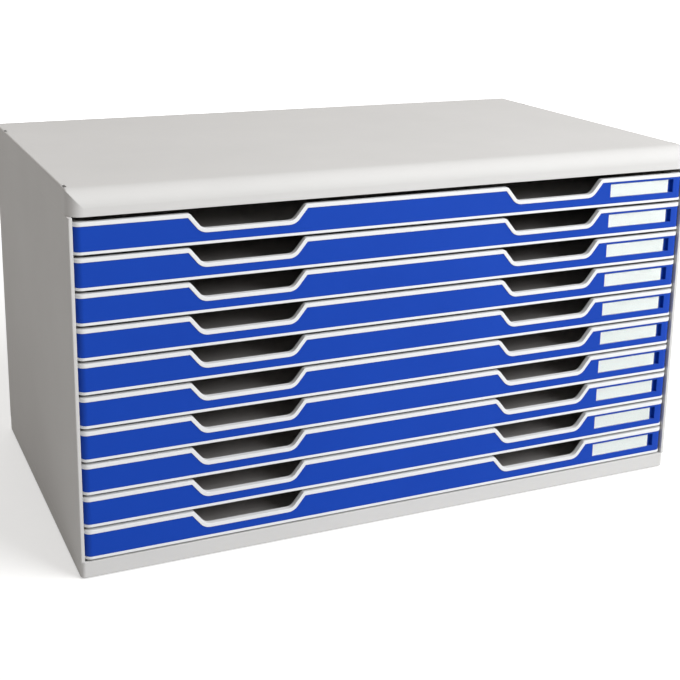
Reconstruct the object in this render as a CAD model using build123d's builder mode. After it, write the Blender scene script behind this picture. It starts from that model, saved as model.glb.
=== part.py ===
from build123d import *
import os
from math import hypot

# Desktop drawer module for stamps, sheets and other flat craft supplies.
# Millimetres, +Z up, the drawers face -Y, origin at the middle of the underside.

# ---- casing ----
width = 576.0               # across the front, over the side panels
depth = 330.0               # front to back
side_wall = 3.3             # side panels, and the skirts of base and roof
base_floor = 3.0            # floor plate of the base
base_top = 14.2             # top edge of the base skirt above the table
base_corner = 4.0           # plan radius of the base's front corners
rear_corner = 2.0           # plan radius of the rear corners of base and roof
roof_height = 20.8          # skirt edge to top face
roof_plate = 3.0            # top plate
nose_radius = 14.0          # from the upright lip into the flat top
nose_corner = 12.0          # plan radius of the nose's ends
panel_edge = 1.2            # radius along the front edges of the side panels
roof_edge = 1.8             # radius along the roof's side edges
back_panel_thick = 2.6
panel_rib = 3.0             # ribs that hold the back panel, in from the side panel
fit = 0.2                   # clearance between moulded pieces that locate each other
over = 1.0                  # how far a cut runs past the face that it opens

# ---- drawers ----
drawer_count = 10
drawer_pitch = 28.2         # from one drawer to the next
front_gap = 2.8             # open line between two drawer fronts
first_gap = 1.8             # base skirt to the lowest front
roof_gap = 4.0              # highest front to the roof's skirt edge
end_gap = 0.5               # drawer front to side panel, at each end
front_corner = 6.0          # plan radius of a front's ends
front_return = 10.0         # depth of the ends behind the front face
rim_height = 3.3            # light rim above the coloured inlay
lip_height = 2.3            # light lip below the inlay
inlay_inset = 0.4           # inlay face behind the rim face
inlay_thick = 2.2
inlay_gap = 0.1             # inlay to its recess, all round
inlay_corner = 0.4          # radius of the inlay's outline at the tops of the cut-outs
front_wall = 2.2            # tray wall behind the inlay
tray_wall = 1.8
tray_floor = 1.8
tray_lift = 1.2             # tray underside above the lower edge of the front
tray_corner = 4.0           # plan radius inside the tray's corners
tray_bevel = 2.0            # floor to wall, inside
rear_gap = 1.0              # closed tray to the ribs in front of the back panel
drawer_travel = 240.0       # from closed to the stop

# ---- finger cut-outs in the drawer fronts ----
cut_width = 98.0            # across the top
cut_floor = 77.0            # across the bottom, before rounding
cut_depth = 12.9
cut_floor_radius = 8.0
cut_top_radius = 3.0

# ---- label holder at the right end of each front ----
pocket_margin = 10.7        # right end of the pocket from the end of the front
pocket_width = 70.0
pocket_height = 12.4
pocket_rise = 7.8           # pocket's lower edge above the lower edge of the front
pocket_depth = 1.5
label_width = 64.2
label_thick = 0.3
label_margin = 0.3          # card and window to the pocket's edges
cup_wall = 0.8              # walls of the finger well beside the label
window_thick = 0.5
window_gap = 0.1

# ---- runners on the side panels ----
runner_rise = 18.2          # runner's top face above the lower edge of the front
runner_depth = 6.2          # how far a runner stands in from the side panel
runner_thick = 1.8
guide_thick = 1.6           # upper rib that stops the tray from tipping
flange_thick = 2.0
running_gap = 0.3           # flange above its seat
guide_gap = 0.4             # flange below the upper rib
tip_gap = 0.6               # runner tips to tray wall
flange_gap = 0.7            # flange edge to side panel
stop_rise = 1.0             # stop block on top of the runner
stop_length = 8.0
stop_ramp = 5.0             # sloping part of the stop block
stop_setback = 5.0          # stop block behind the runner's front end

# ---- fastenings and feet ----
catch_setback = 20.0        # front roof catches from the front
rear_catch_setback = 45.0   # rear roof catches from the rear
catch_width = 12.0
catch_nose = 2.6            # height of the hooked nose
catch_length = 9.0          # length of the nose along the side panel
catch_arm = 2.0
catch_rise = 9.0            # catch nose above the side panel's top edge
catch_window = 2.3          # slot over the catch, across the skirt
tongue_depth = 9.0          # side panel's tongue down into the base
boss_radius = 3.5
boss_overlap = 1.0          # how far a boss runs into the tongue
screw_radius = 1.45
screw_gap = 0.05
screw_head_radius = 2.8
screw_head_height = 1.5
screw_setbacks = (30.0, 165.0, 300.0)   # from the front
foot_radius = 8.0
foot_height = 2.0
foot_proud = 0.8
foot_inset = 26.0
stiffener = 2.0             # ribs under the roof and in the base
roof_rib_drop = 8.0
rib_clearance = 1.0         # ends of those ribs to the back panel
base_rib_rise = 6.0

# ---- worked out ----
half_width = width / 2
half_depth = depth / 2
inner_half = half_width - side_wall
front_height = drawer_pitch - front_gap
stack_bottom = base_top + first_gap
stack_top = stack_bottom + (drawer_count - 1) * drawer_pitch + front_height
roof_bottom = stack_top + roof_gap
height = roof_bottom + roof_height
front_half = inner_half - end_gap
front_face = -half_depth
front_rear = front_face + front_return
pocket_left = front_half - pocket_margin - pocket_width
cut_centre = width / 4      # finger cut-outs to each side of the middle
front_thick = inlay_inset + inlay_thick + inlay_gap + front_wall
tray_half = inner_half - runner_depth - tip_gap
runner_front = front_rear + running_gap
rear_lip_front = half_depth - side_wall
panel_rear = rear_lip_front - fit
panel_front = panel_rear - back_panel_thick
rear_rib_front = panel_front - fit - stiffener
tray_rear = rear_rib_front - rear_gap
stop_front = runner_front + stop_setback
stop_rear = stop_front + stop_length
foot_front = stop_rear + drawer_travel + running_gap
flange_bottom = runner_rise + stop_rise + running_gap
wall_top = flange_bottom + flange_thick
screw_line = inner_half - fit - catch_arm - boss_radius + boss_overlap
boss_bottom = foot_proud + base_floor + fit
screw_length = base_top - boss_bottom
catch_places = (front_face + catch_setback, half_depth - rear_catch_setback)
foot_x = half_width - foot_inset
foot_y = half_depth - foot_inset

os.makedirs("parts", exist_ok=True)


def save(piece, name):
    """Label a finished piece and write it out."""
    piece.label = name
    export_step(piece, f"parts/{name}.step")


def plan_face(half, front, rear, front_radius, rear_radius):
    """A plan outline with rounded front and rear corners."""
    with BuildSketch() as plan:
        with BuildLine():
            FilletPolyline(
                (-half, front), (half, front), (half, rear), (-half, rear),
                radius=[front_radius, front_radius, rear_radius, rear_radius],
                close=True,
            )
        make_face()
    return plan.sketch


def front_plan(inset, rear):
    """Plan outline of a drawer front, set in from its outer faces."""
    half = front_half - inset
    front = front_face + inset
    with BuildSketch() as plan:
        with BuildLine():
            FilletPolyline(
                (-half, rear), (-half, front), (half, front), (half, rear),
                radius=front_corner - inset,
            )
            Line((half, rear), (-half, rear))
        make_face()
    return plan.sketch


def front_outline(bottom, top, growth, top_radius):
    """Outline of a drawer front seen from the front, its cut-outs grown by growth.

    bottom and top are above the lower edge of the front.
    """
    run = (cut_width - cut_floor) / 2
    side = hypot(run, cut_depth)
    floor = front_height - cut_depth - growth
    side_shift = growth * side / cut_depth

    def reach(level):
        return cut_width / 2 + side_shift + (level - front_height) * run / cut_depth

    beyond = front_half + over
    corners = [(-beyond, bottom), (beyond, bottom), (beyond, top)]
    radii = [0.0, 0.0, 0.0]
    for centre in (cut_centre, -cut_centre):
        corners += [
            (centre + reach(top), top),
            (centre + reach(floor), floor),
            (centre - reach(floor), floor),
            (centre - reach(top), top),
        ]
        radii += [top_radius, cut_floor_radius + growth, cut_floor_radius + growth, top_radius]
    corners.append((-beyond, top))
    radii.append(0.0)
    with BuildSketch() as outline:
        with BuildLine():
            FilletPolyline(*corners, radius=radii, close=True)
        make_face()
    return outline.sketch


def inlay_band(z, inset, thick, play):
    """Shell that wraps round the front, cut to the outline of the inlay."""
    with BuildPart() as band:
        with BuildSketch(Plane.XY.offset(z)):
            add(front_plan(inset, front_rear))
        extrude(amount=front_height)
        with BuildSketch(Plane.XY.offset(z)):
            add(front_plan(inset + thick, front_rear + over))
        extrude(amount=front_height, mode=Mode.SUBTRACT)
        with BuildSketch(Plane.XZ.offset(-front_rear)):
            with Locations((0, z)):
                add(front_outline(
                    lip_height - play,
                    front_height - rim_height + play,
                    rim_height - play,
                    inlay_corner,
                ))
        extrude(amount=2 * front_return, mode=Mode.INTERSECT)
    return band.part


def tray_cavity(z):
    """The space inside a tray, with rounded corners and floor edges."""
    with BuildPart() as cavity:
        with BuildSketch(Plane.XY.offset(z + tray_lift + tray_floor)):
            add(plan_face(
                tray_half - tray_wall, front_face + front_thick, tray_rear - tray_wall,
                tray_corner, tray_corner,
            ))
        extrude(amount=2 * front_height)
        chamfer(cavity.faces().sort_by(Axis.Z)[0].edges(), tray_bevel)
    return cavity.part


def well_block(z, play, front, rear, mode):
    """Box of the finger well's outside, grown by play, between two depths."""
    left = pocket_left + label_width + 2 * label_margin
    block(
        (left - cup_wall - play, pocket_left + pocket_width + cup_wall + play),
        (front, rear),
        (z + pocket_rise - cup_wall - play, z + pocket_rise + pocket_height + cup_wall + play),
        mode=mode,
    )


def make_tray(z):
    """Tray with its front wall, rim, finger cut-outs and side flanges."""
    cavity = tray_cavity(z)
    recess = inlay_band(z, -over, over + inlay_inset + inlay_thick + inlay_gap, inlay_gap)
    with BuildPart() as tray:
        with BuildSketch(Plane.XY.offset(z)):
            add(front_plan(0.0, front_rear))
        extrude(amount=front_height)
        with BuildSketch(Plane.XZ.offset(-front_rear)):
            with Locations((0, z)):
                add(front_outline(0.0, front_height, 0.0, cut_top_radius))
        extrude(amount=2 * front_return, mode=Mode.INTERSECT)
        with BuildSketch(Plane.XY.offset(z + tray_lift)):
            add(plan_face(
                tray_half, front_face + front_thick, tray_rear,
                0.0, tray_corner + tray_wall,
            ))
        extrude(amount=wall_top - tray_lift)
        with BuildSketch(Plane.XY.offset(z + flange_bottom)):
            with Locations(
                (0, (front_rear + tray_rear) / 2),
            ):
                Rectangle(2 * (inner_half - flange_gap), tray_rear - front_rear)
        extrude(amount=flange_thick)
        with BuildSketch(Plane.XY.offset(z + runner_rise + running_gap)):
            with Locations((0, (foot_front + tray_rear) / 2)):
                Rectangle(2 * (inner_half - flange_gap), tray_rear - foot_front)
        extrude(amount=stop_rise)
        add(cavity, mode=Mode.SUBTRACT)
        add(recess, mode=Mode.SUBTRACT)
        well_block(z, inlay_gap, front_face, front_face + front_thick + over, Mode.SUBTRACT)
    return tray.part


def make_inlay(z):
    """Coloured inlay with the label pocket and a finger well at the pocket's right end."""
    band = inlay_band(z, inlay_inset, inlay_thick, 0.0)
    pocket_floor = front_face + inlay_inset + pocket_depth
    with BuildPart() as inlay:
        add(band)
        with BuildSketch(Plane.XZ.offset(-pocket_floor)):
            with Locations((pocket_left, z + pocket_rise)):
                Rectangle(pocket_width, pocket_height, align=(Align.MIN, Align.MIN))
        extrude(amount=2 * pocket_depth, mode=Mode.SUBTRACT)
        inlay_rear = front_face + inlay_inset + inlay_thick
        well_block(z, 0.0, inlay_rear, front_face + front_thick, Mode.ADD)
        well_block(z, -cup_wall, front_face, front_face + front_thick - cup_wall, Mode.SUBTRACT)
    return inlay.part


def make_label_sheet(z, setback, thick):
    """A flat strip in the label pocket, its back setback in front of the pocket's floor."""
    back = front_face + inlay_inset + pocket_depth - setback
    with BuildPart() as sheet:
        with BuildSketch(Plane.XZ.offset(-back)):
            with Locations((pocket_left + label_margin, z + pocket_rise + label_margin)):
                Rectangle(
                    label_width, pocket_height - 2 * label_margin,
                    align=(Align.MIN, Align.MIN),
                )
        extrude(amount=thick)
    return sheet.part


def block(x_span, y_span, z_span, mode=Mode.ADD):
    """A box between two values on each axis, in either order."""
    spans = (x_span, y_span, z_span)
    with Locations(tuple((a + b) / 2 for a, b in spans)):
        Box(*(abs(b - a) for a, b in spans), mode=mode)


def stop_face(x, seat):
    """Side view of the ramped stop that stands on a runner."""
    with BuildSketch(Plane.YZ.offset(x)) as stop:
        with BuildLine():
            Polyline(
                (stop_front, seat),
                (stop_rear, seat),
                (stop_rear, seat + stop_rise),
                (stop_front + stop_ramp, seat + stop_rise),
                close=True,
            )
        make_face()
    return stop.sketch


def catch_nose_face(sign, x, y):
    """Front view of a catch's hooked nose."""
    nose = roof_bottom + catch_rise
    with BuildSketch(Plane.XZ.offset(-y)) as hook:
        with BuildLine():
            Polyline(
                (x, nose),
                (x + sign * (catch_window - 2 * fit), nose),
                (x, nose + catch_nose),
                close=True,
            )
        make_face()
    return hook.sketch


def add_runner(sign, z):
    """One drawer's runner with its ramped stop, and the guide above it."""
    tip = sign * (inner_half - runner_depth)
    wall = sign * inner_half
    along = (runner_front, rear_rib_front)
    seat = z + runner_rise
    guide = z + wall_top + guide_gap
    block((tip, wall), along, (seat - runner_thick, seat))
    block((tip, wall), along, (guide, guide + guide_thick))
    extrude(stop_face(wall, seat), amount=-sign * runner_depth)


def add_catch(sign, y):
    """Arm that stands up inside the roof's skirt, its nose in the skirt's slot."""
    outside = sign * (inner_half - fit)
    inside = sign * (inner_half - fit - catch_arm)
    along = (y - catch_width / 2, y + catch_width / 2)
    root = roof_bottom - runner_thick
    block((inside, sign * inner_half), along, (root, roof_bottom))
    block((inside, outside), along, (roof_bottom, roof_bottom + catch_rise + catch_nose))
    extrude(catch_nose_face(sign, outside, y + catch_length / 2), amount=catch_length)


def add_tongue(sign):
    """Tongue that stands inside the base's skirt, with its screw bosses."""
    outside = sign * (inner_half - fit)
    inside = sign * (inner_half - fit - catch_arm)
    along = (runner_front, rear_rib_front)
    block((inside, outside), along, (base_top - tongue_depth, base_top))
    block((inside, sign * inner_half), along, (base_top, base_top + first_gap))
    for setback in screw_setbacks:
        with Locations((sign * screw_line, front_face + setback, boss_bottom)):
            Cylinder(
                boss_radius, base_top + first_gap - boss_bottom,
                align=(Align.CENTER, Align.CENTER, Align.MIN),
            )


def make_side(sign):
    """Side panel with its runners, catches, tongue and the ribs for the back panel."""
    with BuildPart() as side:
        whole = (base_top, roof_bottom)
        wall = sign * inner_half
        rib = sign * (inner_half - panel_rib)
        block((wall, sign * half_width), (front_face, half_depth), whole)
        outer_front = side.edges().filter_by(Axis.Z).sort_by(Axis.Y)[:2].sort_by(Axis.X)
        fillet(outer_front[-1 if sign > 0 else 0], panel_edge)
        block((rib, wall), (rear_rib_front, panel_front - fit), whole)
        block((rib, wall), (rear_lip_front, half_depth), whole)
        for row in range(drawer_count):
            add_runner(sign, stack_bottom + row * drawer_pitch)
        for y in catch_places:
            add_catch(sign, y)
        add_tongue(sign)
        for setback in screw_setbacks:
            with Locations((sign * screw_line, front_face + setback, boss_bottom)):
                Cylinder(
                    screw_radius + screw_gap, screw_length,
                    align=(Align.CENTER, Align.CENTER, Align.MIN),
                    mode=Mode.SUBTRACT,
                )
    return side.part


def make_base():
    """Shallow base tray with ribs, screw holes and seats for the feet."""
    skirt = (foot_proud, base_top)
    with BuildPart() as base:
        with BuildSketch(Plane.XY.offset(foot_proud)):
            add(plan_face(half_width, front_face, half_depth, base_corner, rear_corner))
        extrude(amount=base_top - foot_proud)
        block(
            (-inner_half, inner_half),
            (front_face + side_wall, rear_lip_front),
            (foot_proud + base_floor, base_top + over),
            mode=Mode.SUBTRACT,
        )
        floor_top = foot_proud + base_floor
        for x in (-cut_centre, 0.0, cut_centre):
            block(
                (x - stiffener / 2, x + stiffener / 2),
                (front_face + side_wall, panel_front - rib_clearance),
                (floor_top, floor_top + base_rib_rise),
            )
        for sign in (-1, 1):
            for setback in screw_setbacks:
                with Locations((sign * screw_line, front_face + setback, foot_proud)):
                    Cylinder(
                        screw_head_radius + fit, screw_head_height + fit,
                        align=(Align.CENTER, Align.CENTER, Align.MIN),
                        mode=Mode.SUBTRACT,
                    )
                    Cylinder(
                        screw_radius + fit, base_floor,
                        align=(Align.CENTER, Align.CENTER, Align.MIN),
                        mode=Mode.SUBTRACT,
                    )
        for x in (-foot_x, foot_x):
            for y in (-foot_y, foot_y):
                with Locations((x, y, foot_proud)):
                    Cylinder(
                        foot_radius + fit, foot_height - foot_proud,
                        align=(Align.CENTER, Align.CENTER, Align.MIN),
                        mode=Mode.SUBTRACT,
                    )
    return base.part


def roof_profile(x, inset, drop, bottom):
    """Side view of the roof, its rounded nose at the front."""
    top = height - drop
    with BuildSketch(Plane.YZ.offset(x)) as profile:
        with BuildLine():
            FilletPolyline(
                (front_face + inset, bottom), (front_face + inset, top),
                (half_depth - inset, top), (half_depth - inset, bottom),
                radius=[0.0, nose_radius - drop, 0.0, 0.0],
                close=True,
            )
        make_face()
    return profile.sketch


def roof_space():
    """The hollow of the roof, its front corners rounded like the nose's."""
    bottom = roof_bottom - over
    with BuildPart() as space:
        extrude(roof_profile(-inner_half, side_wall, roof_plate, bottom), amount=2 * inner_half)
        with BuildSketch(Plane.XY.offset(bottom)):
            add(plan_face(
                inner_half, front_face + side_wall, rear_lip_front,
                nose_corner - side_wall, 0.0,
            ))
        extrude(amount=roof_height, mode=Mode.INTERSECT)
    return space.part


def make_roof():
    """Roof with its rounded nose, skirts, ribs and the slots over the catches."""
    space = roof_space()
    with BuildPart() as roof:
        extrude(roof_profile(-half_width, 0.0, 0.0, roof_bottom), amount=width)
        ends = roof.faces().filter_by(Axis.X)
        fillet(
            [
                edge for edge in ends.edges()
                if edge.center().Z > roof_bottom and edge.center().Y < rear_lip_front
            ],
            roof_edge,
        )
        with BuildSketch(Plane.XY.offset(roof_bottom)):
            add(plan_face(half_width, front_face, half_depth, nose_corner, rear_corner))
        extrude(amount=roof_height, mode=Mode.INTERSECT)
        add(space, mode=Mode.SUBTRACT)
        underside = height - roof_plate
        for x in (-cut_centre, 0.0, cut_centre):
            block(
                (x - stiffener / 2, x + stiffener / 2),
                (front_face + 2 * nose_radius, panel_front - rib_clearance),
                (underside - roof_rib_drop, underside + roof_plate / 2),
            )
        for sign in (-1, 1):
            for y in catch_places:
                block(
                    (sign * inner_half, sign * (inner_half + catch_window)),
                    (y - catch_length / 2 - fit, y + catch_length / 2 + fit),
                    (roof_bottom + catch_rise - fit, height + over),
                    mode=Mode.SUBTRACT,
                )
    return roof.part


def make_back():
    """Back panel, held between the ribs of the side panels."""
    with BuildPart() as back:
        block(
            (-inner_half + fit, inner_half - fit),
            (panel_front, panel_rear),
            (foot_proud + base_floor + fit, height - roof_plate - fit),
        )
    return back.part


def make_screws():
    """The screws that hold the side panels down on the base."""
    with BuildPart() as screws:
        for sign in (-1, 1):
            for setback in screw_setbacks:
                with Locations((sign * screw_line, front_face + setback, foot_proud + fit / 2)):
                    Cylinder(
                        screw_head_radius, screw_head_height,
                        align=(Align.CENTER, Align.CENTER, Align.MIN),
                    )
                    Cylinder(
                        screw_radius, boss_bottom + screw_length - foot_proud - fit,
                        align=(Align.CENTER, Align.CENTER, Align.MIN),
                    )
    return screws.part


def make_foot(x, y):
    """Round rubber foot in its seat under the base."""
    with BuildPart() as foot:
        with Locations((x, y, 0)):
            Cylinder(
                foot_radius, foot_height,
                align=(Align.CENTER, Align.CENTER, Align.MIN),
            )
        chamfer(foot.faces().sort_by(Axis.Z)[0].edges(), foot_proud / 2)
    return foot.part


save(make_base(), "base")
save(make_roof(), "roof")
save(make_side(-1), "left_side")
save(make_side(1), "right_side")
save(make_back(), "back_panel")
save(make_screws(), "base_screws")
for front_or_rear, y in (("front", -foot_y), ("rear", foot_y)):
    save(make_foot(-foot_x, y), f"foot_{front_or_rear}_left")
    save(make_foot(foot_x, y), f"foot_{front_or_rear}_right")

for number in range(1, drawer_count + 1):
    z = stack_bottom + (drawer_count - number) * drawer_pitch
    save(make_tray(z), f"drawer_{number:02d}_tray")
    save(make_inlay(z), f"drawer_{number:02d}_front")
    save(make_label_sheet(z, window_gap, label_thick), f"drawer_{number:02d}_label")
    save(
        make_label_sheet(z, label_thick + 2 * window_gap, window_thick),
        f"drawer_{number:02d}_window",
    )
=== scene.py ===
import bpy
from math import radians
from mathutils import Matrix, Vector


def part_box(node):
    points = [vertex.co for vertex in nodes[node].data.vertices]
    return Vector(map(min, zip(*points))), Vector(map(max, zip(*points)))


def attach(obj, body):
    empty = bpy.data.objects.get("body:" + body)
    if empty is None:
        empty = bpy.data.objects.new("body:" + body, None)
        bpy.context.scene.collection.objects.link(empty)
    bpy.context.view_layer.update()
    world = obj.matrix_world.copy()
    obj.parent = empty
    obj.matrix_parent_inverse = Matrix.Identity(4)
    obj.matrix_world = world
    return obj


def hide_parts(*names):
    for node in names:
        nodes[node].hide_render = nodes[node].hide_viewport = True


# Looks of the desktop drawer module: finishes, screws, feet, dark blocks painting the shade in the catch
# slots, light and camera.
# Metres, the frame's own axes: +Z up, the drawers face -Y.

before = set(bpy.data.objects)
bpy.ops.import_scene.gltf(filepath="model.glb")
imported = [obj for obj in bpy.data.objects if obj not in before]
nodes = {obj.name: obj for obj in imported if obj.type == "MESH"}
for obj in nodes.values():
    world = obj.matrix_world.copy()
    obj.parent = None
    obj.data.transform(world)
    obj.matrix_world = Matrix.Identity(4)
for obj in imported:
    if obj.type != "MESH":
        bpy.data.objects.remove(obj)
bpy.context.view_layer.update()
bpy.ops.object.select_all(action="DESELECT")
scene = bpy.context.scene


# ---- shader groups ----

SPECK_SCALE = 900.0             # noise scale of single dust specks
FINE_ROUGHNESS = 0.12           # how much the fine grain changes the roughness
RING_WIDTH = 0.0005             # ejector marks
LEVEL_FACE = 0.95               # faces this close to level carry ejector marks


def new_group(name, inputs, outputs):
    """An empty shader group with named sockets; returns it with its input and output nodes."""
    group = bpy.data.node_groups.new(name, "ShaderNodeTree")
    for label, kind, default in inputs:
        socket = group.interface.new_socket(name=label, in_out="INPUT", socket_type=kind)
        socket.default_value = default
    for label, kind in outputs:
        group.interface.new_socket(name=label, in_out="OUTPUT", socket_type=kind)
    return group, group.nodes.new("NodeGroupInput"), group.nodes.new("NodeGroupOutput")


def math_node(tree, operation, first, second=None, clamp=False):
    """A math node whose inputs are sockets or plain numbers; returns its output."""
    node = tree.nodes.new("ShaderNodeMath")
    node.operation = operation
    node.use_clamp = clamp
    for slot, value in zip(node.inputs, (first, second)):
        if value is None:
            continue
        if isinstance(value, (int, float)):
            slot.default_value = value
        else:
            tree.links.new(value, slot)
    return node.outputs[0]


def noise_node(tree, coordinate, scale, detail, roughness=0.5):
    """A noise texture on the given coordinate; returns its factor."""
    node = tree.nodes.new("ShaderNodeTexNoise")
    node.inputs["Detail"].default_value = detail
    node.inputs["Roughness"].default_value = roughness
    tree.links.new(coordinate, node.inputs["Vector"])
    if isinstance(scale, (int, float)):
        node.inputs["Scale"].default_value = scale
    else:
        tree.links.new(scale, node.inputs["Scale"])
    return node.outputs["Fac"]


def object_place(tree):
    """The object coordinate, in metres from the frame's origin."""
    return tree.nodes.new("ShaderNodeTexCoord").outputs["Object"]


def split(tree, vector):
    """The X, Y and Z outputs of a vector socket."""
    node = tree.nodes.new("ShaderNodeSeparateXYZ")
    tree.links.new(vector, node.inputs[0])
    return node.outputs


def face_normal(tree):
    """The normal of the shaded face."""
    return tree.nodes.new("ShaderNodeNewGeometry").outputs["Normal"]


def moulded_grain_group():
    """Fine satin grain of moulded plastic: a height, a roughness variation and a colour variation."""
    group, inputs, outputs = new_group(
        "moulded_grain",
        [
            ("Grain size", "NodeSocketFloat", 2200.0),
            ("Flow size", "NodeSocketFloat", 9.0),
            ("Roughness", "NodeSocketFloat", 0.45),
            ("Roughness spread", "NodeSocketFloat", 0.1),
        ],
        [("Height", "NodeSocketFloat"), ("Roughness", "NodeSocketFloat"), ("Mottle", "NodeSocketFloat")],
    )
    place = object_place(group)
    grain = noise_node(group, place, inputs.outputs["Grain size"], 3.0, 0.6)
    flow = noise_node(group, place, inputs.outputs["Flow size"], 4.0, 0.55)
    spread = math_node(group, "SUBTRACT", flow, 0.5)
    spread = math_node(group, "MULTIPLY", spread, inputs.outputs["Roughness spread"])
    fine = math_node(group, "MULTIPLY", math_node(group, "SUBTRACT", grain, 0.5), FINE_ROUGHNESS)
    rough = math_node(group, "ADD", math_node(group, "ADD", spread, fine), inputs.outputs["Roughness"])
    group.links.new(grain, outputs.inputs["Height"])
    group.links.new(rough, outputs.inputs["Roughness"])
    group.links.new(flow, outputs.inputs["Mottle"])
    return group


def dust_group():
    """Thin dust and handling marks on faces that look up."""
    group, inputs, outputs = new_group(
        "settled_dust",
        [("Amount", "NodeSocketFloat", 0.2), ("Patch size", "NodeSocketFloat", 40.0)],
        [("Mask", "NodeSocketFloat")],
    )
    place = object_place(group)
    up = math_node(group, "MAXIMUM", split(group, face_normal(group))["Z"], 0.0)
    patches = noise_node(group, place, inputs.outputs["Patch size"], 6.0, 0.65)
    specks = noise_node(group, place, SPECK_SCALE, 2.0, 0.5)
    cover = math_node(group, "MULTIPLY", patches, specks)
    cover = math_node(group, "MULTIPLY", cover, up)
    mask = math_node(group, "MULTIPLY", cover, inputs.outputs["Amount"], clamp=True)
    group.links.new(mask, outputs.inputs["Mask"])
    return group


def mould_mark_group():
    """Shallow rings that ejector pins leave on level moulded faces, on a grid in plan."""
    group, inputs, outputs = new_group(
        "mould_marks",
        [
            ("Spacing X", "NodeSocketFloat", 0.11),
            ("Spacing Y", "NodeSocketFloat", 0.09),
            ("Pin radius", "NodeSocketFloat", 0.004),
        ],
        [("Rings", "NodeSocketFloat")],
    )
    place = split(group, object_place(group))
    squares = []
    for axis in ("X", "Y"):
        spacing = inputs.outputs[f"Spacing {axis}"]
        cells = math_node(group, "DIVIDE", place[axis], spacing)
        within = math_node(group, "SUBTRACT", math_node(group, "FRACT", cells), 0.5)
        offset = math_node(group, "MULTIPLY", within, spacing)
        squares.append(math_node(group, "MULTIPLY", offset, offset))
    distance = math_node(group, "SQRT", math_node(group, "ADD", *squares))
    from_ring = math_node(group, "SUBTRACT", distance, inputs.outputs["Pin radius"])
    from_ring = math_node(group, "ABSOLUTE", from_ring)
    in_widths = math_node(group, "DIVIDE", from_ring, RING_WIDTH)
    ring = math_node(group, "SUBTRACT", 1.0, in_widths, clamp=True)
    tilt = math_node(group, "ABSOLUTE", split(group, face_normal(group))["Z"])
    level = math_node(group, "GREATER_THAN", tilt, LEVEL_FACE)
    group.links.new(math_node(group, "MULTIPLY", ring, level), outputs.inputs["Rings"])
    return group


GRAIN = moulded_grain_group()
MARKS = mould_mark_group()
DUST = dust_group()


# ---- materials ----

DUST_COLOUR = (0.78, 0.77, 0.75)
EDGE_GAIN = 2.5                 # how soon a turned normal counts as a worn edge
BEVEL_SAMPLES = 6
GRAIN_STRENGTH = 0.35
PIN_MARK_STRENGTH = 0.6
PIN_MARK_DEPTH = 0.0002
PAINTED_SHADE_FADE = 0.002              # depth over which the front's colour gives way to the painted shade of the tray's inside


def new_material(name):
    """A material; returns it with its node tree and its shader."""
    material = bpy.data.materials.new(name)
    material.use_nodes = True
    tree = material.node_tree
    return material, tree, tree.nodes["Principled BSDF"]


def place_group(tree, group, **values):
    """One use of a group in a material, with this material's own values."""
    node = tree.nodes.new("ShaderNodeGroup")
    node.node_tree = group
    for label, value in values.items():
        node.inputs[label.replace("_", " ")].default_value = value
    return node


def blend(tree, factor, first, second):
    """Mix of two colours by a factor socket; each colour is a tuple or a socket."""
    node = tree.nodes.new("ShaderNodeMix")
    node.data_type = "RGBA"
    tree.links.new(factor, node.inputs[0])
    for index, colour in ((6, first), (7, second)):
        if isinstance(colour, tuple):
            node.inputs[index].default_value = (*colour, 1.0)
        else:
            tree.links.new(colour, node.inputs[index])
    return node.outputs[2]


def raised(tree, height, strength, distance, normal=None):
    """The normal of a surface with small heights on it, over another normal if one is given."""
    bump = tree.nodes.new("ShaderNodeBump")
    bump.inputs["Strength"].default_value = strength
    bump.inputs["Distance"].default_value = distance
    tree.links.new(height, bump.inputs["Height"])
    if normal:
        tree.links.new(normal, bump.inputs["Normal"])
    return bump.outputs["Normal"]


def stretched(tree, share):
    """The object coordinate drawn out along X, so that a noise on it runs in streaks."""
    mapping = tree.nodes.new("ShaderNodeMapping")
    mapping.inputs["Scale"].default_value = (share, 1.0, 1.0)
    tree.links.new(object_place(tree), mapping.inputs["Vector"])
    return mapping.outputs["Vector"]


def soft_edges(tree, radius):
    """The normal of edges rounded by that radius, in metres."""
    bevel = tree.nodes.new("ShaderNodeBevel")
    bevel.samples = BEVEL_SAMPLES
    bevel.inputs["Radius"].default_value = radius
    return bevel.outputs["Normal"]


def edge_mask(tree, rounded):
    """How far the rounded normal turns from the face's own: 0 on faces, up at edges."""
    turned = tree.nodes.new("ShaderNodeVectorMath")
    turned.operation = "DOT_PRODUCT"
    tree.links.new(rounded, turned.inputs[0])
    tree.links.new(face_normal(tree), turned.inputs[1])
    away = math_node(tree, "SUBTRACT", 1.0, turned.outputs["Value"])
    return math_node(tree, "MULTIPLY", away, EDGE_GAIN, clamp=True)


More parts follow.
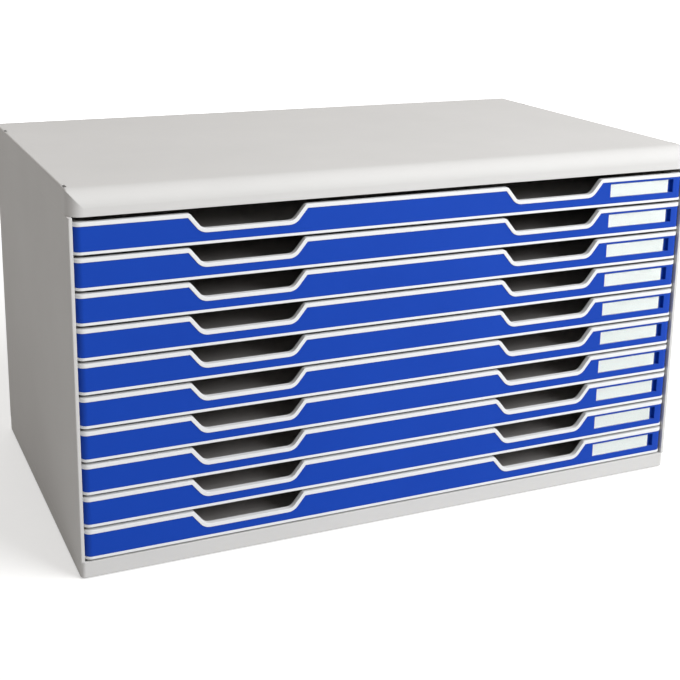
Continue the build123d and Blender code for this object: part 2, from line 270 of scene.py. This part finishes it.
def moulded_plastic(
    name, colour, shade, worn, roughness, spread, grain_size, grain_height, edge_radius,
    gloss=0.5, dust=0.25, pin_spacing=None, inside_painted_shade=None, painted_shade_from=None,
):
    """Moulded plastic with satin grain, flow mottling, soft worn edges and a little dust.

    pin_spacing adds ejector marks, and inside_painted_shade takes over behind the plane y =
    painted_shade_from: a darker colour painted as the shade inside a closed drawer.
    """
    material, tree, shader = new_material(name)
    grain = place_group(tree, GRAIN, Grain_size=grain_size, Roughness=roughness, Roughness_spread=spread)
    rounded = soft_edges(tree, edge_radius)

    body = blend(tree, grain.outputs["Mottle"], colour, shade)
    # painted shade: the drawer's inside is darkened in its colour, standing for the shadow inside a closed
    # drawer
    if inside_painted_shade:
        behind = math_node(tree, "SUBTRACT", split(tree, object_place(tree))["Y"], painted_shade_from)
        body = blend(tree, math_node(tree, "DIVIDE", behind, PAINTED_SHADE_FADE, clamp=True), body, inside_painted_shade)
    body = blend(tree, edge_mask(tree, rounded), body, worn)
    settled = place_group(tree, DUST, Amount=dust)
    body = blend(tree, settled.outputs["Mask"], body, DUST_COLOUR)

    surface = raised(tree, grain.outputs["Height"], GRAIN_STRENGTH, grain_height, rounded)
    if pin_spacing:
        rings = place_group(tree, MARKS, Spacing_X=pin_spacing[0], Spacing_Y=pin_spacing[1])
        surface = raised(tree, rings.outputs["Rings"], PIN_MARK_STRENGTH, PIN_MARK_DEPTH, surface)

    tree.links.new(body, shader.inputs["Base Color"])
    tree.links.new(grain.outputs["Roughness"], shader.inputs["Roughness"])
    tree.links.new(surface, shader.inputs["Normal"])
    shader.inputs["IOR"].default_value = 1.5
    shader.inputs["Specular IOR Level"].default_value = gloss
    return material


def card_paper():
    """Uncoated card with pressed fibres."""
    material, tree, shader = new_material("label_card")
    fibres = noise_node(tree, stretched(tree, 0.3), 1800.0, 6.0, 0.7)
    cloud = noise_node(tree, object_place(tree), 60.0, 3.0)
    colour = blend(tree, fibres, (0.84, 0.87, 0.85), (0.89, 0.92, 0.90))
    colour = blend(tree, math_node(tree, "MULTIPLY", cloud, 0.25), colour, (0.80, 0.83, 0.80))
    tree.links.new(colour, shader.inputs["Base Color"])
    tree.links.new(raised(tree, fibres, 0.3, 0.00005), shader.inputs["Normal"])
    shader.inputs["Roughness"].default_value = 0.85
    shader.inputs["IOR"].default_value = 1.45
    return material


def clear_strip():
    """Clear plastic with faint wiping marks."""
    material, tree, shader = new_material("label_window")
    wipes = noise_node(tree, stretched(tree, 0.12), 900.0, 5.0, 0.65)
    rough = math_node(tree, "ADD", math_node(tree, "MULTIPLY", wipes, 0.16), 0.04)
    tree.links.new(rough, shader.inputs["Roughness"])
    tree.links.new(raised(tree, wipes, 0.05, 0.00002), shader.inputs["Normal"])
    shader.inputs["Base Color"].default_value = (0.95, 0.97, 0.97, 1.0)
    shader.inputs["Transmission Weight"].default_value = 1.0
    shader.inputs["IOR"].default_value = 1.46
    return material


def zinc_steel():
    """Zinc plated screws with fine crystalline plating."""
    material, tree, shader = new_material("screw_steel")
    place = object_place(tree)
    plating = noise_node(tree, place, 2600.0, 5.0, 0.7)
    stain = noise_node(tree, place, 420.0, 3.0)
    rough = math_node(tree, "ADD", math_node(tree, "MULTIPLY", plating, 0.25), 0.2)
    tree.links.new(blend(tree, stain, (0.60, 0.61, 0.62), (0.44, 0.44, 0.45)), shader.inputs["Base Color"])
    tree.links.new(rough, shader.inputs["Roughness"])
    tree.links.new(raised(tree, plating, 0.2, 0.00004), shader.inputs["Normal"])
    shader.inputs["Metallic"].default_value = 1.0
    return material


CASING = moulded_plastic(
    "casing_grey",
    colour=(0.645, 0.64, 0.63), shade=(0.60, 0.595, 0.585), worn=(0.74, 0.735, 0.725),
    roughness=0.68, spread=0.14, grain_size=2200.0, grain_height=0.00012, edge_radius=0.0007,
    gloss=0.15,
)
BACK = moulded_plastic(
    "back_grey",
    colour=(0.60, 0.595, 0.58), shade=(0.56, 0.555, 0.54), worn=(0.68, 0.675, 0.66),
    roughness=0.55, spread=0.12, grain_size=1500.0, grain_height=0.00016, edge_radius=0.0004,
)
TRAY = moulded_plastic(
    "tray_grey",
    colour=(0.80, 0.81, 0.82), shade=(0.75, 0.76, 0.77), worn=(0.88, 0.89, 0.90),
    roughness=0.50, spread=0.12, grain_size=2600.0, grain_height=0.00008, edge_radius=0.0006,
    # the inside colour is painted shade for the dark inside of a closed drawer, not a darker plastic
    gloss=0.3, pin_spacing=(0.11, 0.09), inside_painted_shade=(0.36, 0.345, 0.335), painted_shade_from=-0.161,
)
BLUE = moulded_plastic(
    "front_blue",
    colour=(0.004, 0.056, 0.43), shade=(0.003, 0.043, 0.36), worn=(0.03, 0.12, 0.56),
    roughness=0.42, spread=0.10, grain_size=2400.0, grain_height=0.00010, edge_radius=0.0004,
    gloss=0.15, dust=0.05,
)
# Dark rubber of the feet; the same dark finish is painted shade on the blocks in the catch slots.
RUBBER_AND_PAINTED_SHADE = moulded_plastic(
    "foot_rubber",
    colour=(0.035, 0.035, 0.036), shade=(0.05, 0.05, 0.05), worn=(0.09, 0.09, 0.09),
    roughness=0.75, spread=0.1, grain_size=1300.0, grain_height=0.0002, edge_radius=0.0004,
    dust=0.3,
)
CARD = card_paper()
WINDOW = clear_strip()
STEEL = zinc_steel()

FINISHES = {
    "_tray": TRAY, "_front": BLUE, "_label": CARD, "_window": WINDOW,
    "base_screws": STEEL, "back_panel": BACK,
}
for name, node in nodes.items():
    finish = CASING
    if name.startswith("foot_"):
        finish = RUBBER_AND_PAINTED_SHADE
    for ending, material in FINISHES.items():
        if name.endswith(ending):
            finish = material
    node.data.materials.clear()
    node.data.materials.append(finish)


# ---- small pieces ----

SMALL_ROUNDING = 0.0003         # edges of screws and feet
SHADE_BLOCK_ROUNDING = 0.0006
ROUNDING_SEGMENTS = 3

HEAD_RADIUS = 0.0028
HEAD_HEIGHT = 0.0015
HEAD_RIM = 0.0007               # flat ring round the head's middle
SHANK_RADIUS = 0.00145
TIP_LENGTH = 0.001
TIP_SHARE = 0.25                # radius at the tip, of the shank's
CROSS_SIZE = (0.0031, 0.00062, 0.0022)
CROSS_TAPER = 0.35              # width at the bottom of the recess, of that at its mouth
CROSS_TURN = 20.0               # degrees

# rings of a foot's underside: inset as a share of its radius, then the lift of what is inside
FOOT_RINGS = (((0.28, 0.1), 0.0005), ((0.22, 0.08), -0.0004))

# Dark blocks in the catch slots: painted shade, dark pieces standing where the real slots are only in
# shadow.
SHADE_BLOCK_WIDTH = 0.0021
SHADE_BLOCK_LENGTH = 0.0092
SHADE_BLOCK_HEIGHT = 0.0040
SHADE_BLOCK_FROM_SIDE = 0.00215         # middle of a dark shade block from the roof's side face
SHADE_BLOCK_FROM_FRONT = 0.020
SHADE_BLOCK_FROM_REAR = 0.045
SHADE_BLOCK_BELOW_TOP = 0.0022          # middle of a dark shade block below the roof's top face


def deselect():
    """Leave edit mode and select nothing."""
    if bpy.context.object and bpy.context.object.mode != "OBJECT":
        bpy.ops.object.mode_set(mode="OBJECT")
    bpy.ops.object.select_all(action="DESELECT")


def choose(obj):
    """Make one object the only one selected, and the active one."""
    deselect()
    obj.select_set(True)
    bpy.context.view_layer.objects.active = obj


def bake_place():
    """Put the active object's place, turn and scale into its mesh."""
    bpy.ops.object.transform_apply(location=True, rotation=True, scale=True)


def settle(obj, name, finish, body):
    """Put the place into the mesh, name the piece, give it its finish and its body."""
    choose(obj)
    bake_place()
    obj.name = name
    obj.data.materials.clear()
    obj.data.materials.append(finish)
    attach(obj, body)
    obj.select_set(False)
    return obj


def apply_modifiers(obj):
    """Apply the modifiers of one object in their order."""
    choose(obj)
    for modifier in list(obj.modifiers):
        bpy.ops.object.modifier_apply(modifier=modifier.name)


def round_edges(obj, radius):
    """Round the sharp edges of a piece."""
    rounding = obj.modifiers.new("rounding", "BEVEL")
    rounding.width = radius
    rounding.segments = ROUNDING_SEGMENTS
    rounding.limit_method = "ANGLE"
    apply_modifiers(obj)


def select_faces(obj, test):
    """In edit mode, select the faces whose normal passes the test."""
    bpy.ops.object.mode_set(mode="EDIT")
    bpy.ops.mesh.select_mode(type="FACE")
    bpy.ops.mesh.select_all(action="DESELECT")
    bpy.ops.object.mode_set(mode="OBJECT")
    for face in obj.data.polygons:
        face.select = test(face.normal)
    bpy.ops.object.mode_set(mode="EDIT")


def looks_up(normal):
    return normal.z > 0.9


def looks_down(normal):
    return normal.z < -0.9


def cross_cutter(place):
    """A tapered cross, the shape of a screwdriver's tip, pointing up into a screw head."""
    arms = []
    for turn in (0.0, 90.0):
        bpy.ops.mesh.primitive_cube_add(size=1.0, location=(0.0, 0.0, 0.0))
        arm = bpy.context.object
        arm.scale = CROSS_SIZE
        arm.rotation_euler = (0.0, 0.0, radians(turn + CROSS_TURN))
        bake_place()
        select_faces(arm, looks_up)
        bpy.ops.transform.resize(value=(CROSS_TAPER, CROSS_TAPER, 1.0))
        bpy.ops.object.mode_set(mode="OBJECT")
        arm.location = place
        bake_place()
        arms.append(arm)
    return arms


def make_screw(x, y, head_low, tip_top):
    """One pan-head screw, head down, with a cross recess and a tapered tip."""
    deselect()
    bpy.ops.mesh.primitive_cylinder_add(
        vertices=40, radius=HEAD_RADIUS, depth=HEAD_HEIGHT, location=(x, y, head_low + HEAD_HEIGHT / 2),
    )
    screw = bpy.context.object
    bake_place()
    select_faces(screw, looks_down)
    bpy.ops.mesh.inset(thickness=HEAD_RIM)
    select_faces(screw, looks_up)
    bpy.ops.mesh.inset(thickness=HEAD_RADIUS - SHANK_RADIUS)
    shank = tip_top - head_low - HEAD_HEIGHT - TIP_LENGTH
    for length in (shank, TIP_LENGTH):
        bpy.ops.mesh.extrude_region_move(TRANSFORM_OT_translate={"value": (0.0, 0.0, length)})
    bpy.ops.transform.resize(value=(TIP_SHARE, TIP_SHARE, 1.0))
    bpy.ops.object.mode_set(mode="OBJECT")
    round_edges(screw, SMALL_ROUNDING)
    for arm in cross_cutter((x, y, head_low)):
        cut = screw.modifiers.new("cross", "BOOLEAN")
        cut.operation = "DIFFERENCE"
        cut.solver = "EXACT"
        cut.object = arm
        apply_modifiers(screw)
        bpy.data.objects.remove(arm, do_unlink=True)
    bpy.ops.object.shade_smooth_by_angle(angle=radians(35.0))
    return screw


def make_screws():
    """Cross-head screws, joined into one piece, standing for the plain ones of the frame."""
    low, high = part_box("base_screws")
    screws = []
    for x in (low[0] + HEAD_RADIUS, high[0] - HEAD_RADIUS):
        for y in (low[1] + HEAD_RADIUS, (low[1] + high[1]) / 2, high[1] - HEAD_RADIUS):
            screws.append(make_screw(x, y, low[2], high[2]))
    deselect()
    for screw in screws:
        screw.select_set(True)
    bpy.context.view_layer.objects.active = screws[0]
    bpy.ops.object.join()
    joined = settle(bpy.context.object, "cross_head_screws", STEEL, "casing")
    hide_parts("base_screws")


def make_feet():
    """Rubber feet with a rounded edge and a moulded ring, standing for the plain discs."""
    for corner in ("front_left", "front_right", "rear_left", "rear_right"):
        node = f"foot_{corner}"
        low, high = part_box(node)
        middle = [(a + b) / 2 for a, b in zip(low, high)]
        radius = (high[0] - low[0]) / 2
        deselect()
        bpy.ops.mesh.primitive_cylinder_add(
            vertices=64, radius=radius, depth=high[2] - low[2], location=middle,
        )
        foot = bpy.context.object
        bake_place()
        select_faces(foot, looks_down)
        for insets, lift in FOOT_RINGS:
            for inset in insets:
                bpy.ops.mesh.inset(thickness=radius * inset)
            bpy.ops.transform.translate(value=(0.0, 0.0, lift))
        bpy.ops.object.mode_set(mode="OBJECT")
        round_edges(foot, SMALL_ROUNDING)
        bpy.ops.object.shade_smooth_by_angle(angle=radians(35.0))
        settle(foot, f"ringed_{node}", RUBBER_AND_PAINTED_SHADE, "casing")
        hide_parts(node)


def make_catch_slot_shade():
    """Dark blocks of painted shade in the slots over the roof's catches, just under the roof's face, so
    that the slots read black.
    """
    low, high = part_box("roof")
    sides = (("left", low[0] + SHADE_BLOCK_FROM_SIDE), ("right", high[0] - SHADE_BLOCK_FROM_SIDE))
    ends = (("front", low[1] + SHADE_BLOCK_FROM_FRONT), ("rear", high[1] - SHADE_BLOCK_FROM_REAR))
    for hand, x in sides:
        for end, y in ends:
            deselect()
            bpy.ops.mesh.primitive_cube_add(size=1.0, location=(x, y, high[2] - SHADE_BLOCK_BELOW_TOP))
            shade_block = bpy.context.object
            shade_block.scale = (SHADE_BLOCK_WIDTH, SHADE_BLOCK_LENGTH, SHADE_BLOCK_HEIGHT)
            bake_place()
            round_edges(shade_block, SHADE_BLOCK_ROUNDING)
            bpy.ops.object.shade_smooth_by_angle(angle=radians(40.0))
            # the dark finish here paints the shade of the catch slot, not a rubber part
            settle(shade_block, f"catch_slot_shade_{end}_{hand}", RUBBER_AND_PAINTED_SHADE, "casing")


make_screws()
make_feet()
make_catch_slot_shade()


# ---- floor, light and camera ----

FLOOR_SIZE = 14.0
FLOOR_DROP = 0.0004             # floor below the feet
FLOOR_COLOUR = (0.6, 0.6, 0.59, 1.0)
GLOW_NEAR = 0.52                # floor's own white beside the object, low enough to keep the shadow
GLOW_FAR = 0.95
GLOW_REACH = (0.5, 1.7)         # from the first to the second, in metres from the middle
AMBIENT = 0.38                  # world's light on the object
BACKDROP = 0.72                 # what the world adds where it is seen
WARM_AIR = (1.0, 0.95, 0.91, 1.0)
LAMP_COLOUR = (0.97, 0.985, 1.0)

CAMERA_PLACE = (-0.4719, -1.0748, 0.5207)
CAMERA_YAW = -24.106            # degrees, to the right of +Y
CAMERA_DIP = 14.12
CAMERA_ROLL = 0.903
CAMERA_LENS = 66.05
CAMERA_SHIFT = -0.16


def background_rays(tree):
    """1 for the rays that see the background: camera, glossy and transmission rays."""
    paths = tree.nodes.new("ShaderNodeLightPath")
    seen = math_node(tree, "MAXIMUM", paths.outputs["Is Camera Ray"], paths.outputs["Is Glossy Ray"])
    return math_node(tree, "MAXIMUM", seen, paths.outputs["Is Transmission Ray"])


def pale_floor():
    """White ground that looks white to the camera and keeps the shadow."""
    material, tree, shader = new_material("pale_floor")
    tree.nodes.remove(shader)
    diffuse = tree.nodes.new("ShaderNodeBsdfDiffuse")
    diffuse.inputs["Color"].default_value = FLOOR_COLOUR
    glow = tree.nodes.new("ShaderNodeEmission")
    glow.inputs["Color"].default_value = (1.0, 1.0, 1.0, 1.0)
    reach = tree.nodes.new("ShaderNodeVectorMath")
    reach.operation = "LENGTH"
    tree.links.new(object_place(tree), reach.inputs[0])
    far = tree.nodes.new("ShaderNodeMapRange")
    far.interpolation_type = "SMOOTHSTEP"
    limits = {
        "From Min": GLOW_REACH[0], "From Max": GLOW_REACH[1], "To Min": GLOW_NEAR, "To Max": GLOW_FAR,
    }
    for label, value in limits.items():
        far.inputs[label].default_value = value
    tree.links.new(reach.outputs["Value"], far.inputs["Value"])
    strength = math_node(tree, "MULTIPLY", background_rays(tree), far.outputs["Result"])
    tree.links.new(strength, glow.inputs["Strength"])
    both = tree.nodes.new("ShaderNodeAddShader")
    tree.links.new(diffuse.outputs[0], both.inputs[0])
    tree.links.new(glow.outputs[0], both.inputs[1])
    tree.links.new(both.outputs[0], tree.nodes["Material Output"].inputs["Surface"])
    return material


bpy.ops.mesh.primitive_plane_add(size=FLOOR_SIZE, location=(0.0, 0.0, -FLOOR_DROP))
floor = bpy.context.object
floor.name = "floor"
floor.data.materials.append(pale_floor())

world = bpy.data.worlds.new("studio")
scene.world = world
world.use_nodes = True
air = world.node_tree
background = air.nodes["Background"]
background.inputs["Color"].default_value = WARM_AIR
level = math_node(air, "MULTIPLY", background_rays(air), BACKDROP)
air.links.new(math_node(air, "ADD", level, AMBIENT), background.inputs["Strength"])


def softbox(name, place, target, size, power):
    """A square area lamp that faces its target."""
    lamp = bpy.data.lights.new(name, "AREA")
    lamp.shape = "SQUARE"
    lamp.size = size
    lamp.energy = power
    lamp.color = LAMP_COLOUR
    holder = bpy.data.objects.new(name, lamp)
    scene.collection.objects.link(holder)
    holder.location = place
    aim = Vector(target) - Vector(place)
    holder.rotation_euler = aim.to_track_quat("-Z", "Y").to_euler()
    return holder


softbox("key_front_right", place=(1.4, -1.75, 1.75), target=(0.1, 0.0, 0.15), size=1.8, power=84.0)
fill = softbox("fill_behind", place=(0.2, 2.2, 0.8), target=(0.0, 0.0, 0.16), size=1.4, power=14.0)
fill.visible_glossy = False

camera = bpy.data.objects.new("camera", bpy.data.cameras.new("camera"))
scene.collection.objects.link(camera)
scene.camera = camera
camera.data.sensor_width = 36.0
camera.data.lens = CAMERA_LENS
camera.data.shift_y = CAMERA_SHIFT
camera.data.clip_start = 0.01
camera.matrix_world = (
    Matrix.Translation(CAMERA_PLACE)
    @ Matrix.Rotation(radians(CAMERA_YAW), 4, "Z")
    @ Matrix.Rotation(radians(90.0 - CAMERA_DIP), 4, "X")
    @ Matrix.Rotation(radians(CAMERA_ROLL), 4, "Z")
)

scene.view_settings.view_transform = "Standard"
